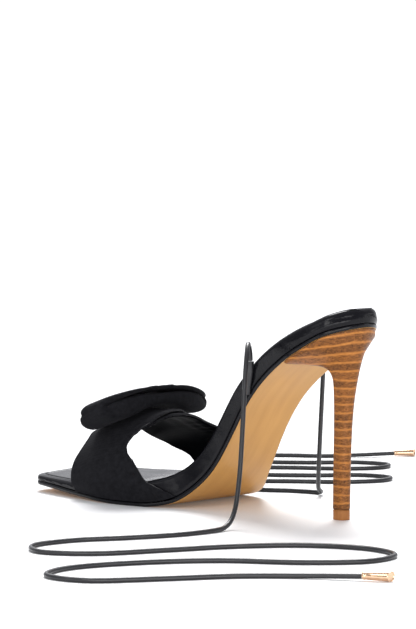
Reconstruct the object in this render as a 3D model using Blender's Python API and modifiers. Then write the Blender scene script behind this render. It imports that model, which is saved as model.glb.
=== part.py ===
"""Lace-up stiletto sandal, right foot, standing empty on its sole.

Metres, +Z up. X runs from the heel to the toe, Y to the medial side (the wearer's left),
and the origin is on the floor under the middle of the shoe's length.
Tables are in millimetres. "along" is the distance from the back of the heel towards the toe.
"""

import math

import bmesh
import bpy
import numpy as np
from mathutils import Vector

MM = 0.001
GAP = 0.3                 # clearance between pieces that meet

LENGTH = 214.0            # back of the heel to the end of the toe
OUTSOLE_THICK = 2.2
OUTSOLE_EDGE = 0.6        # chamfer on the outsole's upper edge, the dark groove under the insole
INSOLE_ROUND = 2.2        # radius of the padded insole's upper edge
INSOLE_CROWN = 0.5        # how far the padding swells in the middle
HEEL_ROUND = 26.0         # length of the rounded back of the sole
TOE_CORNER = 8.0          # radius of the square toe's corners
HEEL_TURNS = (7.0, 20.0, 34.0, 48.0, 62.0, 76.0, 90.0)   # stations round the back, in degrees
TOE_TURNS = (22.0, 42.0, 60.0, 76.0, 90.0)                # stations round the toe corners
MIDDLE_STATIONS = 33
EDGE_SHARE = 0.3          # most of a narrow section that a chamfer may take
CURVE_SHARE = 0.4         # most of a narrow section's width that the rounded edge may take
CURVE_DEPTH = 0.6         # most of the insole's thickness that it may take
HEEL_SIDES = 24
TIP_ALONG = 16.0          # centre of the heel tip
TIP_HEIGHT = 5.2          # thickness of the heel's top piece

STRAP_WALL = 2.0
STRAP_CLEAR = 0.6         # strap's inner face to the insole's side
STRAP_POWER = 2.1         # roundness of the last's cross-section
WALL_TURN = 20.0          # degrees of "turn" given to the upright wall beside the insole
CROSS_STEP = 1.4          # the lateral strap passes this far under the medial one
CROSS_TURN = 135.0        # it starts down at this turn
CROSS_FADE = 30.0         # and is under after this many degrees more
STRAP_ROWS = 22           # points round the last
STRAP_POINTS = 9          # points across a strap
GATHER_RISE = 3.3         # the straps rise this far where they gather under the bow
GATHER_ALONG = 154.0      # the bow sits here
GATHER_SPREAD = (14.0, 13.0)

BOW_HALF = 42.0           # half the bow's length across the foot
BOW_WIDTH = 17.0          # half its width along the foot
BOW_UPPER = (2.2, 0.9)    # padding of the loop's upper layer, loose and squeezed by the knot
BOW_LOWER = (9.6, 6.6)    # the same in its fuller lower layer
BOW_SLIT = 0.7            # between the loop's two layers
BOW_DROOP = {1: (10.5, 3.0), -1: (8.0, 2.5)}   # how far the medial and lateral loops hang, and a power
BOW_TILT = 0.28           # fall towards the toe
BOW_LIFT = 0.4            # its middle to the gathered straps
BOW_NOTCH = 0.4           # share of the padding that the fold at a loop's end draws in
BOW_OVAL = 2.0            # roundness of the bow seen from above
BOW_END = 1.5             # half width left at the loops' folded ends
BOW_PINCH = 20.0          # half-length of the part squeezed by the knot
BOW_SECTIONS = 44         # sections round the loop
BOW_SPREAD = 0.75         # powers that bring the sections closer together at the folds,
BOW_FOLD = 0.45           # keep the layers flat up to them
BOW_TURN = 6              # and turn the padding round them
# Padded band's section: shares of its half width and half thickness
BOW_BAND = (
    (1.0, 0.35), (0.93, 0.9), (0.8, 1.0), (-0.8, 1.0), (-0.93, 0.9), (-1.0, 0.35),
    (-1.0, -0.35), (-0.93, -0.9), (-0.8, -1.0), (0.8, -1.0), (0.93, -0.9), (1.0, -0.35),
)
KNOT_HALF = 8.5           # half the width of the band at the bow's middle
KNOT_WALL = 0.9
KNOT_CLEAR = 0.35
KNOT_INSET = 2.0          # it draws the upper layer's edges in this far
KNOT_ROOM = 0.8           # the loop's layers part this far to let it through
KNOT_SECTIONS = 28
KNOT_SQUARE = (0.15, 0.5) # powers that square the band's path along the foot and upwards

CORD_RADIUS = 1.2
CAP_LENGTH = 12.5
CAP_SLANT = 0.55          # slope of its cut end
CAP_SIDES = 16
CAP_LIFT = 0.05           # clearance to the floor
# Metal cap by sections: share of its length, and radius
CAP_COLUMNS = ("share", "radius")
CAP = ((0.0, 1.75), (0.2, 1.75), (0.7, 2.05), (1.0, 2.25))

# Sole by stations: height of its underside, thickness with the insole, half widths
SOLE_COLUMNS = ("along", "under", "thick", "medial", "lateral")
SOLE = (
    (0.0, 96.4, 9.9, 23.5, 23.5),
    (12.0, 92.0, 10.4, 23.5, 23.5),
    (20.0, 87.6, 10.9, 23.5, 23.8),
    (30.0, 81.9, 11.4, 23.5, 24.5),
    (40.0, 75.4, 11.4, 22.8, 24.5),
    (51.0, 66.8, 11.1, 21.5, 23.5),
    (60.0, 57.3, 11.4, 20.7, 21.8),
    (69.0, 43.3, 11.8, 20.5, 20.3),
    (74.0, 34.9, 11.8, 20.9, 20.8),
    (79.5, 26.1, 12.2, 21.5, 22.3),
    (85.5, 18.3, 12.6, 22.4, 25.0),
    (93.6, 10.7, 13.0, 24.2, 30.5),
    (99.0, 6.7, 13.5, 25.8, 34.5),
    (104.0, 3.8, 13.7, 27.4, 37.0),
    (109.5, 1.8, 13.6, 29.3, 38.3),
    (115.0, 0.7, 13.3, 31.3, 39.0),
    (121.0, 0.0, 12.6, 33.6, 39.3),
    (139.0, 0.0, 10.5, 36.6, 38.2),
    (151.0, 0.5, 8.8, 37.0, 36.3),
    (163.0, 1.3, 7.6, 35.6, 33.8),
    (176.0, 2.0, 6.6, 33.4, 30.8),
    (188.0, 2.8, 5.8, 31.0, 28.2),
    (201.0, 3.4, 5.2, 28.0, 25.5),
    (214.0, 4.0, 4.8, 25.0, 23.0),
)

# Heel by sections from the seat to the top piece: x is measured from the tip's centre
HEEL_COLUMNS = ("x_back", "z_back", "x_mid", "x_front", "z_front", "half", "corner")
HEEL = (
    (-15.2, 92.6, 9.0, 19.9, 77.2, 22.0, 0.30),
    (-14.2, 88.6, 6.0, 14.5, 76.8, 15.5, 0.35),
    (-12.7, 83.6, 1.5, 8.0, 76.0, 9.4, 0.45),
    (-11.0, 77.6, -2.0, 4.6, 73.6, 6.6, 0.55),
    (-9.4, 70.4, -2.8, 3.3, 68.4, 5.1, 0.65),
    (-7.2, 58.5, -2.0, 3.2, 57.5, 4.3, 0.70),
    (-5.6, 45.0, -1.2, 3.2, 43.5, 3.95, 0.75),
    (-4.7, 30.0, -0.7, 3.3, 29.5, 3.75, 0.75),
    (-4.2, 15.0, -0.4, 3.4, 15.0, 3.65, 0.75),
    (-3.9, 5.5, -0.2, 3.5, 5.5, 3.55, 0.75),
)
HEEL_SEAT = {"x_back": -15.4, "x_mid": 10.0, "x_front": 20.5, "half": 22.6, "corner": 0.28}

# Straps by turn round the last, 0 and 180 degrees at the insole's top: front and rear edges
STRAP_COLUMNS = ("turn", "front", "rear")
MEDIAL_STRAP = (
    (-20.0, 170.5, 104.0),
    (-10.0, 171.0, 110.8),
    (0.0, 171.3, 118.0),
    (15.0, 171.7, 125.5),
    (30.0, 170.3, 134.8),
    (38.0, 169.8, 134.0),
    (45.0, 170.3, 132.4),
    (60.0, 173.5, 129.5),
    (75.0, 175.5, 129.5),
    (90.0, 174.0, 131.5),
    (120.0, 168.0, 136.0),
)
LATERAL_STRAP = (
    (200.0, 148.0, 104.0),
    (180.0, 150.5, 110.0),
    (165.0, 154.5, 117.0),
    (150.0, 164.5, 123.0),
    (135.0, 168.5, 127.0),
    (120.0, 169.5, 129.8),
    (90.0, 167.0, 129.0),
    (60.0, 164.0, 132.0),
)
# Height of the last's ridge under the straps
RIDGE_COLUMNS = ("along", "top")
RIDGE = (
    (105.0, 50.0), (129.0, 47.8), (142.0, 45.0), (156.0, 41.8), (168.0, 37.8), (176.0, 35.0), (185.0, 32.0),
)

# Tie tabs: where they stand and how far they rise past the insole's edge
TAB_FOOT = (60.0, 61.0)   # along, height
TAB_HEAD = (55.8, 78.0)
TAB_UPRIGHT = 72.0        # above this height it no longer follows the sole's side
TAB_WIDTH = 3.8
TAB_THICK = 1.4
TAB_CLEAR = 0.4
TAB_LEVELS = 5

# Ties laid down: points of each route, in millimetres
MEDIAL_ROUTE = (
    (-51.6, 24.0, 78.5), (-52.2, 24.8, 82.0), (-54.0, 27.6, 86.0), (-57.0, 31.6, 87.3),
    (-60.6, 36.2, 84.2), (-64.0, 41.0, 75.0), (-67.0, 45.4, 60.0), (-69.6, 49.6, 42.0),
    (-72.0, 54.0, 24.0), (-74.6, 60.0, 9.0), (-77.4, 69.0, 2.2), (-78.6, 82.0, 1.2),
    (-75.0, 102.0, 1.2), (-65.4, 124.4, 1.2), (-53.0, 148.0, 1.2), (-52.0, 172.0, 1.2),
    (-69.2, 184.0, 1.2), (-91.5, 170.0, 1.2), (-106.4, 141.7, 1.2), (-121.0, 111.3, 1.2),
    (-142.4, 86.1, 1.2), (-170.1, 74.0, 1.2), (-193.0, 81.0, 1.2), (-196.0, 104.0, 1.2),
    (-176.5, 127.0, 1.2), (-147.5, 146.7, 1.2), (-126.3, 174.2, 1.2), (-114.0, 206.7, 1.2),
    (-122.0, 230.0, 1.2), (-145.4, 228.0, 1.2), (-165.2, 202.0, 1.2), (-182.4, 176.0, 1.2),
    (-204.0, 156.0, 1.3), (-226.0, 143.0, 2.0),
)
LATERAL_ROUTE = (
    (-51.6, -26.2, 78.5), (-51.6, -26.9, 82.0), (-50.8, -29.4, 85.8), (-48.6, -33.6, 87.0),
    (-45.4, -38.4, 83.6), (-41.8, -42.6, 74.0), (-38.0, -46.0, 58.0), (-34.0, -49.2, 38.0),
    (-29.6, -53.0, 18.0), (-24.0, -59.0, 5.4), (-18.6, -66.4, 1.5), (-4.0, -64.0, 1.2),
    (16.0, -54.0, 1.2), (35.0, -50.0, 1.2), (48.0, -57.0, 1.2), (47.0, -75.0, 1.2),
    (29.0, -93.0, 1.2), (6.0, -110.0, 1.2), (-7.0, -131.0, 1.2), (-1.0, -145.0, 1.2),
    (18.0, -143.0, 1.2), (37.0, -123.0, 1.2), (58.0, -107.0, 1.2), (81.0, -98.0, 1.2),
    (94.0, -108.0, 1.2), (89.0, -126.0, 1.2), (69.0, -144.0, 1.2), (45.0, -160.0, 1.2),
    (33.0, -179.0, 1.2), (41.0, -193.0, 1.2), (61.0, -189.0, 1.2), (79.0, -170.0, 1.2),
    (99.0, -155.0, 1.2), (119.0, -146.0, 1.2), (135.0, -151.0, 1.2), (133.0, -170.0, 1.2),
    (114.0, -189.0, 1.2), (92.0, -204.0, 1.3), (70.0, -234.0, 2.0),
)
ROUTE_POINTS = 78
ROUTE_STEPS = 24          # fine steps between two of a route's own points


def column(table, columns, name):
    return np.array([row[columns.index(name)] for row in table])


def smooth(at, places, values):
    """Value at a place on the monotone cubic through a table's column."""
    order = np.argsort(places)
    x, y = places[order], values[order]
    step = np.diff(x)
    rise = np.diff(y) / step
    slope = np.zeros(len(x))
    slope[0], slope[-1] = rise[0], rise[-1]
    for i in range(1, len(x) - 1):
        if rise[i - 1] * rise[i] > 0.0:
            before = 2.0 * step[i] + step[i - 1]
            after = step[i] + 2.0 * step[i - 1]
            slope[i] = (before + after) / (before / rise[i - 1] + after / rise[i])
    i = int(np.clip(np.searchsorted(x, at) - 1, 0, len(step) - 1))
    t = float(np.clip((at - x[i]) / step[i], 0.0, 1.0))
    return (
        y[i] * (1.0 + 2.0 * t) * (1.0 - t) ** 2
        + y[i + 1] * t * t * (3.0 - 2.0 * t)
        + step[i] * (slope[i] * t * (1.0 - t) ** 2 - slope[i + 1] * t * t * (1.0 - t))
    )


def sole(along, name):
    return smooth(along, column(SOLE, SOLE_COLUMNS, "along"), column(SOLE, SOLE_COLUMNS, name))


def sole_slope(along):
    reach = 0.5
    low, high = max(along - reach, 0.0), min(along + reach, LENGTH)
    return (sole(high, "under") - sole(low, "under")) / (high - low)


def half_width(along, side):
    """Outline of the sole: the table's half width, with the heel and the toe corners rounded."""
    half = sole(along, side)
    if along < HEEL_ROUND:
        half *= math.sqrt(max(1.0 - ((HEEL_ROUND - along) / HEEL_ROUND) ** 2, 0.0))
    to_toe = LENGTH - along
    if to_toe < TOE_CORNER:
        half -= TOE_CORNER - math.sqrt(max(TOE_CORNER**2 - (TOE_CORNER - to_toe) ** 2, 0.0))
    return half


def sole_point(along, y, rise):
    """Point at a rise square to the sole's underside, in part coordinates."""
    slope = sole_slope(along)
    stretch = math.hypot(1.0, slope)
    return Vector((along - slope * rise / stretch - LENGTH / 2, y, sole(along, "under") + rise / stretch))


def sole_stations():
    """Stations along the sole, close together where the outline turns."""
    heel = [HEEL_ROUND * (1.0 - math.cos(math.radians(a))) for a in HEEL_TURNS]
    middle = list(np.linspace(HEEL_ROUND, LENGTH - TOE_CORNER, MIDDLE_STATIONS + 1)[1:])
    toe = [LENGTH - TOE_CORNER * (1.0 - math.sin(math.radians(a))) for a in TOE_TURNS]
    return heel + middle + toe


def add_object(name, mesh):
    for polygon in mesh.polygons:
        polygon.use_smooth = True
    obj = bpy.data.objects.new(name, mesh)
    sandal.objects.link(obj)
    return obj


def loft(name, sections, closed=False):
    """Solid through loops of points; a closed loft joins its last loop to its first."""
    mesh = bpy.data.meshes.new(name)
    build = bmesh.new()
    rows = [[build.verts.new(Vector(p) * MM) for p in section] for section in sections]
    pairs = list(zip(rows, rows[1:]))
    if closed:
        pairs.append((rows[-1], rows[0]))
    for one, two in pairs:
        for i in range(len(one)):
            j = (i + 1) % len(one)
            build.faces.new((one[i], one[j], two[j], two[i]))
    if not closed:
        build.faces.new(rows[0])
        build.faces.new(rows[-1])
    bmesh.ops.recalc_face_normals(build, faces=build.faces)
    build.to_mesh(mesh)
    build.free()
    return add_object(name, mesh)


def sheet(name, rows, inside):
    """Open surface through rows of points, its faces turned away from a point inside."""
    mesh = bpy.data.meshes.new(name)
    build = bmesh.new()
    grid = [[build.verts.new(Vector(p) * MM) for p in row] for row in rows]
    for one, two in zip(grid, grid[1:]):
        for i in range(len(one) - 1):
            build.faces.new((one[i], one[i + 1], two[i + 1], two[i]))
    build.normal_update()
    first = next(iter(build.faces))
    if first.normal.dot(first.calc_center_median() - Vector(inside) * MM) < 0.0:
        bmesh.ops.reverse_faces(build, faces=build.faces)
    build.to_mesh(mesh)
    build.free()
    return add_object(name, mesh)


def finish(obj, name, colour, roughness, metallic=0.0):
    material = bpy.data.materials.new(name)
    material.use_nodes = True
    shader = material.node_tree.nodes["Principled BSDF"]
    shader.inputs["Base Color"].default_value = (*colour, 1.0)
    shader.inputs["Roughness"].default_value = roughness
    shader.inputs["Metallic"].default_value = metallic
    obj.data.materials.append(material)


def make_outsole():
    sections = []
    for along in sole_stations():
        medial, lateral = half_width(along, "medial"), half_width(along, "lateral")
        edge = min(OUTSOLE_EDGE, EDGE_SHARE * min(medial, lateral))
        sections.append((
            sole_point(along, medial, 0.0),
            sole_point(along, medial, OUTSOLE_THICK - edge),
            sole_point(along, medial - edge, OUTSOLE_THICK),
            sole_point(along, edge - lateral, OUTSOLE_THICK),
            sole_point(along, -lateral, OUTSOLE_THICK - edge),
            sole_point(along, -lateral, 0.0),
        ))
    outsole = loft("outsole", sections)
    finish(outsole, "tan_outsole", (0.55, 0.33, 0.13), 0.45)


def make_insole():
    sections = []
    for along in sole_stations():
        medial, lateral = half_width(along, "medial"), half_width(along, "lateral")
        low, top = OUTSOLE_THICK + GAP, sole(along, "thick")
        curve = min(INSOLE_ROUND, CURVE_SHARE * min(medial, lateral), CURVE_DEPTH * (top - low))
        edge = min(OUTSOLE_EDGE, EDGE_SHARE * curve)
        section = []
        for half in (medial, -lateral):
            sign = math.copysign(1.0, half)
            side = [
                sole_point(along, half - sign * edge, low),
                sole_point(along, half, low + edge),
                sole_point(along, half, top - curve),
            ]
            for turn in (30.0, 60.0, 90.0):
                inward = curve * (1.0 - math.cos(math.radians(turn)))
                upward = curve * math.sin(math.radians(turn))
                side.append(sole_point(along, half - sign * inward, top - curve + upward))
            section += side if half > 0.0 else side[::-1]
        middle = (medial - lateral) / 2
        crown = INSOLE_CROWN * min(1.0, EDGE_SHARE * medial / INSOLE_ROUND)
        section.insert(len(section) // 2, sole_point(along, middle, top + crown))
        sections.append(section)
    insole = loft("insole", sections)
    finish(insole, "black_footbed_leather", (0.02, 0.02, 0.025), 0.3)


def heel_section(row, seat=False):
    """Loop of a heel section: round at the back, squarer at the breast."""
    loop = []
    for i in range(HEEL_SIDES):
        angle = 2.0 * math.pi * i / HEEL_SIDES
        c, s = math.cos(angle), math.sin(angle)
        front = c > 0.0
        power = row["corner"] if front else 1.0
        reach = row["x_front"] - row["x_mid"] if front else row["x_mid"] - row["x_back"]
        x = row["x_mid"] + math.copysign(abs(c) ** power, c) * reach
        y = math.copysign(abs(s) ** power, s) * row["half"]
        along = x + TIP_ALONG
        if seat:
            stretch = math.hypot(1.0, sole_slope(along))
            z = sole(along, "under") - GAP * stretch
        else:
            share = (x - row["x_back"]) / (row["x_front"] - row["x_back"])
            z = row["z_back"] + (row["z_front"] - row["z_back"]) * share
        loop.append((along - LENGTH / 2, y, z))
    return loop


def make_heel():
    rows = [dict(zip(HEEL_COLUMNS, row)) for row in HEEL]
    sections = [heel_section(HEEL_SEAT, seat=True)] + [heel_section(row) for row in rows]
    heel = loft("heel", sections)
    finish(heel, "stacked_leather", (0.36, 0.15, 0.05), 0.5)
    last = rows[-1]
    tip = [[(x, y, z) for x, y, _ in heel_section(last)] for z in (0.0, TIP_HEIGHT)]
    top_piece = loft("heel_top_piece", tip)
    finish(top_piece, "tan_top_piece", (0.40, 0.20, 0.08), 0.55)


def last_point(along, turn, under=0.0):
    """Outer face of a strap on the last, at a turn round it from the medial to the lateral side."""
    medial_side = turn <= 90.0
    half = sole(along, "medial" if medial_side else "lateral") + STRAP_CLEAR + STRAP_WALL
    sign = 1.0 if medial_side else -1.0
    stretch = math.hypot(1.0, sole_slope(along))
    base = sole(along, "under") + (OUTSOLE_THICK + GAP) * stretch
    floor = sole(along, "under") + sole(along, "thick") * stretch
    from_side = turn if medial_side else 180.0 - turn
    if from_side < 0.0:
        y = half
        z = floor + (floor - base) * from_side / WALL_TURN
    else:
        angle = math.radians(from_side)
        ridge = smooth(along, column(RIDGE, RIDGE_COLUMNS, "along"), column(RIDGE, RIDGE_COLUMNS, "top"))
        y = half * max(math.cos(angle), 0.0) ** (2.0 / STRAP_POWER)
        z = floor + (ridge - floor) * math.sin(angle) ** (2.0 / STRAP_POWER)
        spread = ((along - GATHER_ALONG) / GATHER_SPREAD[0]) ** 2 + (y / GATHER_SPREAD[1]) ** 2
        z += GATHER_RISE * math.exp(-spread)
    return along - LENGTH / 2, sign * y, z - under


def strap(name, table, crossing):
    """One strap as a bent wall; crossing lowers it where it runs under the other."""
    turns = column(table, STRAP_COLUMNS, "turn")
    rows = []
    for turn in np.linspace(turns[0], turns[-1], STRAP_ROWS):
        front = smooth(turn, turns, column(table, STRAP_COLUMNS, "front"))
        rear = smooth(turn, turns, column(table, STRAP_COLUMNS, "rear"))
        under = CROSS_STEP * float(np.clip((CROSS_TURN - turn) / CROSS_FADE, 0.0, 1.0)) if crossing else 0.0
        rows.append([last_point(a, turn, under) for a in np.linspace(front, rear, STRAP_POINTS)])
    wall = sheet(name, rows, inside=(GATHER_ALONG - LENGTH / 2, 0.0, sole(GATHER_ALONG, "thick")))
    solidify = wall.modifiers.new("wall", "SOLIDIFY")
    solidify.thickness = STRAP_WALL * MM
    solidify.offset = -1.0
    solidify.use_even_offset = True
    return wall


def make_upper():
    upper = strap("upper", MEDIAL_STRAP, crossing=False)
    lateral = strap("lateral_strap", LATERAL_STRAP, crossing=True)
    sandal.objects.unlink(lateral)
    cutters.objects.link(lateral)
    lateral.hide_render = True
    lateral.display_type = "WIRE"
    join = upper.modifiers.new("crossing", "BOOLEAN")
    join.operation = "UNION"
    join.object = lateral
    finish(upper, "black_strap_fabric", (0.012, 0.012, 0.015), 0.85)


def pinch(y):
    """How far the knot squeezes the bow, 1 in its middle."""
    return math.cos(min(abs(y) / BOW_PINCH, 1.0) * math.pi / 2) ** 2


def bow_layer(y, fold):
    """Thickness of the band, from -1 in the lower layer to 1 in the upper one."""
    share = (fold + 1.0) / 2
    loose = BOW_LOWER[0] + (BOW_UPPER[0] - BOW_LOWER[0]) * share
    squeezed = BOW_LOWER[1] + (BOW_UPPER[1] - BOW_LOWER[1]) * share
    return loose + (squeezed - loose) * pinch(y)


def bow_offset(y, fold):
    """From the loop's slit to the middle of a layer."""
    return fold * ((bow_layer(y, fold) + BOW_SLIT) / 2 + KNOT_ROOM * pinch(y))


def bow_half(y, fold):
    """Half width of the band along the foot: an oval, drawn in by the knot in its upper layer."""
    oval = (1.0 - abs(y / BOW_HALF) ** BOW_OVAL) ** (1.0 / BOW_OVAL)
    return BOW_END + (BOW_WIDTH - BOW_END) * oval - KNOT_INSET * pinch(y) * max(fold, 0.0)


def bow_slit(x, y):
    """Height of the slit between the layers: the bow rests on the gathered straps."""
    ridge = smooth(GATHER_ALONG, column(RIDGE, RIDGE_COLUMNS, "along"), column(RIDGE, RIDGE_COLUMNS, "top"))
    seat = ridge + GATHER_RISE + BOW_LIFT - bow_offset(0.0, -1.0) + bow_layer(0.0, -1.0) / 2
    drop, power = BOW_DROOP[1 if y > 0.0 else -1]
    return seat - drop * abs(y / BOW_HALF) ** power - BOW_TILT * (x + LENGTH / 2 - GATHER_ALONG)


def signed_power(value, power):
    return math.copysign(abs(value) ** power, value)


def make_bow():
    """Padded band sewn into a ring and pressed flat, so it has two loops and a slit."""
    reach = BOW_HALF - (BOW_UPPER[0] + BOW_LOWER[0]) / 4
    centre = GATHER_ALONG - LENGTH / 2
    sections = []
    for i in range(BOW_SECTIONS):
        angle = 2.0 * math.pi * i / BOW_SECTIONS
        y = signed_power(math.cos(angle), BOW_SPREAD) * reach
        fold = signed_power(math.sin(angle), BOW_FOLD)
        normal_y = signed_power(math.cos(angle), BOW_TURN)
        normal_z = math.copysign(math.sqrt(1.0 - normal_y**2), math.sin(angle))
        half = bow_half(y, fold)
        thick = bow_layer(y, fold) / 2 * (1.0 - BOW_NOTCH * (1.0 - abs(fold)) ** 4)
        loop = []
        for wide, deep in BOW_BAND:
            x = centre + wide * half
            z = bow_slit(x, y) + bow_offset(y, fold) + deep * thick * normal_z
            loop.append((x, y + deep * thick * normal_y, z))
        sections.append(loop)
    bow = loft("bow_loop", sections, closed=True)
    finish(bow, "black_bow_fabric", (0.012, 0.012, 0.015), 0.85)


def make_knot():
    """Band round the loop's upper layer, passing through the slit."""
    centre = GATHER_ALONG - LENGTH / 2
    band = ((-KNOT_HALF, 0.0), (-KNOT_HALF, KNOT_WALL), (0.0, KNOT_WALL),
            (KNOT_HALF, KNOT_WALL), (KNOT_HALF, 0.0), (0.0, 0.0))
    sections = []
    for i in range(KNOT_SECTIONS):
        angle = 2.0 * math.pi * i / KNOT_SECTIONS
        across = signed_power(math.cos(angle), KNOT_SQUARE[0])
        up = signed_power(math.sin(angle), KNOT_SQUARE[1])
        loop = []
        for y, wall in band:
            x = centre + across * (bow_half(y, 1.0) + KNOT_CLEAR + wall)
            z = bow_slit(x, y) + bow_offset(y, 1.0) + up * (bow_layer(y, 1.0) / 2 + KNOT_CLEAR + wall)
            loop.append((x, y, z))
        sections.append(loop)
    knot = loft("bow_knot", sections, closed=True)
    finish(knot, "black_knot_fabric", (0.012, 0.012, 0.015), 0.85)


def side_station(along, height):
    """Station of the sole whose side passes through a point beside it, found by halving."""
    low, high = 0.0, along
    for _ in range(ROUTE_STEPS):
        middle = (low + high) / 2
        reach = middle - sole_slope(middle) * (height - sole(middle, "under"))
        if reach < along:
            low = middle
        else:
            high = middle
    return low


def make_tab(name, side, sign):
    """Leather tab that comes up from between insole and outsole and holds a tie."""
    sections = []
    for share in np.linspace(0.0, 1.0, TAB_LEVELS):
        along = TAB_FOOT[0] + (TAB_HEAD[0] - TAB_FOOT[0]) * share
        height = TAB_FOOT[1] + (TAB_HEAD[1] - TAB_FOOT[1]) * share
        inner = half_width(side_station(along, min(height, TAB_UPRIGHT)), side) + TAB_CLEAR
        x = along - LENGTH / 2
        sections.append((
            (x - TAB_WIDTH / 2, sign * inner, height),
            (x + TAB_WIDTH / 2, sign * inner, height),
            (x + TAB_WIDTH / 2, sign * (inner + TAB_THICK), height),
            (x - TAB_WIDTH / 2, sign * (inner + TAB_THICK), height),
        ))
    tab = loft(name, sections)
    finish(tab, name + "_leather", (0.015, 0.015, 0.018), 0.4)


def even_route(points, count):
    """Evenly spaced points on the smooth curve through a route's own points."""
    fine = []
    ends = [2 * Vector(points[0]) - Vector(points[1])]
    ends += [Vector(p) for p in points]
    ends.append(2 * Vector(points[-1]) - Vector(points[-2]))
    for a, b, c, d in zip(ends, ends[1:], ends[2:], ends[3:]):
        for i in range(ROUTE_STEPS):
            t = i / ROUTE_STEPS
            fine.append(0.5 * (2 * b + (c - a) * t + (2 * a - 5 * b + 4 * c - d) * t**2
                               + (3 * b - a - 3 * c + d) * t**3))
    fine.append(Vector(points[-1]))
    for point in fine:
        point.z = max(point.z, CORD_RADIUS)
    run = np.concatenate([[0.0], np.cumsum([(q - p).length for p, q in zip(fine, fine[1:])])])
    places = np.linspace(0.0, run[-1], count)
    return [Vector([np.interp(s, run, [p[k] for p in fine]) for k in range(3)]) for s in places]


def make_tie(name, route):
    line = even_route(route, ROUTE_POINTS)
    curve = bpy.data.curves.new(name, "CURVE")
    curve.dimensions = "3D"
    curve.bevel_depth = CORD_RADIUS * MM
    curve.bevel_resolution = 2
    curve.use_fill_caps = True
    spline = curve.splines.new("POLY")
    spline.points.add(len(line) - 1)
    for point, place in zip(spline.points, line):
        point.co = (*(place * MM), 1.0)
    tie = bpy.data.objects.new(name, curve)
    sandal.objects.link(tie)
    finish(tie, name + "_leather", (0.012, 0.012, 0.015), 0.4)
    return line


def make_cap(name, line):
    """Metal end of a tie: a flared tube, cut on the slant."""
    along = (line[-1] - line[-2]).normalized()
    along.z = 0.0
    along.normalize()
    across = Vector((-along.y, along.x, 0.0))
    lift = max(column(CAP, CAP_COLUMNS, "radius")) + CAP_LIFT
    start = Vector((line[-1].x, line[-1].y, lift)) + along * GAP
    sections = []
    for share, radius in CAP:
        loop = []
        for i in range(CAP_SIDES):
            angle = 2.0 * math.pi * i / CAP_SIDES
            sideways = radius * math.cos(angle)
            reach = CAP_LENGTH * share + CAP_SLANT * sideways * share
            upward = Vector((0.0, 0.0, radius * math.sin(angle)))
            loop.append(start + along * reach + across * sideways + upward)
        sections.append(loop)
    cap = loft(name, sections)
    finish(cap, name + "_gold", (0.83, 0.60, 0.42), 0.25, metallic=1.0)


def new_collection(name):
    collection = bpy.data.collections.new(name)
    bpy.context.scene.collection.children.link(collection)
    return collection


for old in list(bpy.data.objects):
    bpy.data.objects.remove(old, do_unlink=True)
sandal = new_collection("lace_up_sandal")
cutters = new_collection("joined_shapes")

make_outsole()
make_insole()
make_heel()
make_upper()
make_bow()
make_knot()
for side_name, side_sign, tie_route in (("medial", 1.0, MEDIAL_ROUTE), ("lateral", -1.0, LATERAL_ROUTE)):
    make_tab("tie_tab_" + side_name, side_name, side_sign)
    tie_line = make_tie("tie_cord_" + side_name, tie_route)
    make_cap("tie_cap_" + side_name, tie_line)
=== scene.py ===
"""Looks of a black lace-up stiletto sandal, right foot, with crossed straps and a padded bow."""

import math
import bpy
import numpy as np
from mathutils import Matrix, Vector


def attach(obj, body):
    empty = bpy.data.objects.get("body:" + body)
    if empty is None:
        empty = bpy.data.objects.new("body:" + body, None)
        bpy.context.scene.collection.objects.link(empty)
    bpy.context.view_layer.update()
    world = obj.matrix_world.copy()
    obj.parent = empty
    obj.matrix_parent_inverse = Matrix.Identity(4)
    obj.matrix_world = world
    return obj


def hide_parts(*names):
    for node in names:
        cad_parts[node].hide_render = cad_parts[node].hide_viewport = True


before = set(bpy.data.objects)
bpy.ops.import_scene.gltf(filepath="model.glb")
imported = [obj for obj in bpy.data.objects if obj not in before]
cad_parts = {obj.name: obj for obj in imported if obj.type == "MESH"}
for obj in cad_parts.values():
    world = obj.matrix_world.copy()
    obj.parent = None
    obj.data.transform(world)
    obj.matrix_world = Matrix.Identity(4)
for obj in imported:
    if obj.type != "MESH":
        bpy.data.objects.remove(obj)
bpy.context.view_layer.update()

# Outsole: a thin sole of tan leather, smooth underneath, cut to the shoe's outline and
# cemented under the footbed. Its edge is sealed with glossy black edge paint.
MM = 0.001
LENGTH = 214.0
HEEL_ROUND = 26.0
TOE_CORNER = 8.0
UPRIGHT_BACK = 50.0
OUTSOLE_THICK = 2.2
OUTSOLE_ROUND = 0.7
GAP = 0.3
SLOPE_REACH = 0.5
BACK_STATIONS, MIDDLE_STATIONS, CORNER_STATIONS = 45, 130, 28
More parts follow.
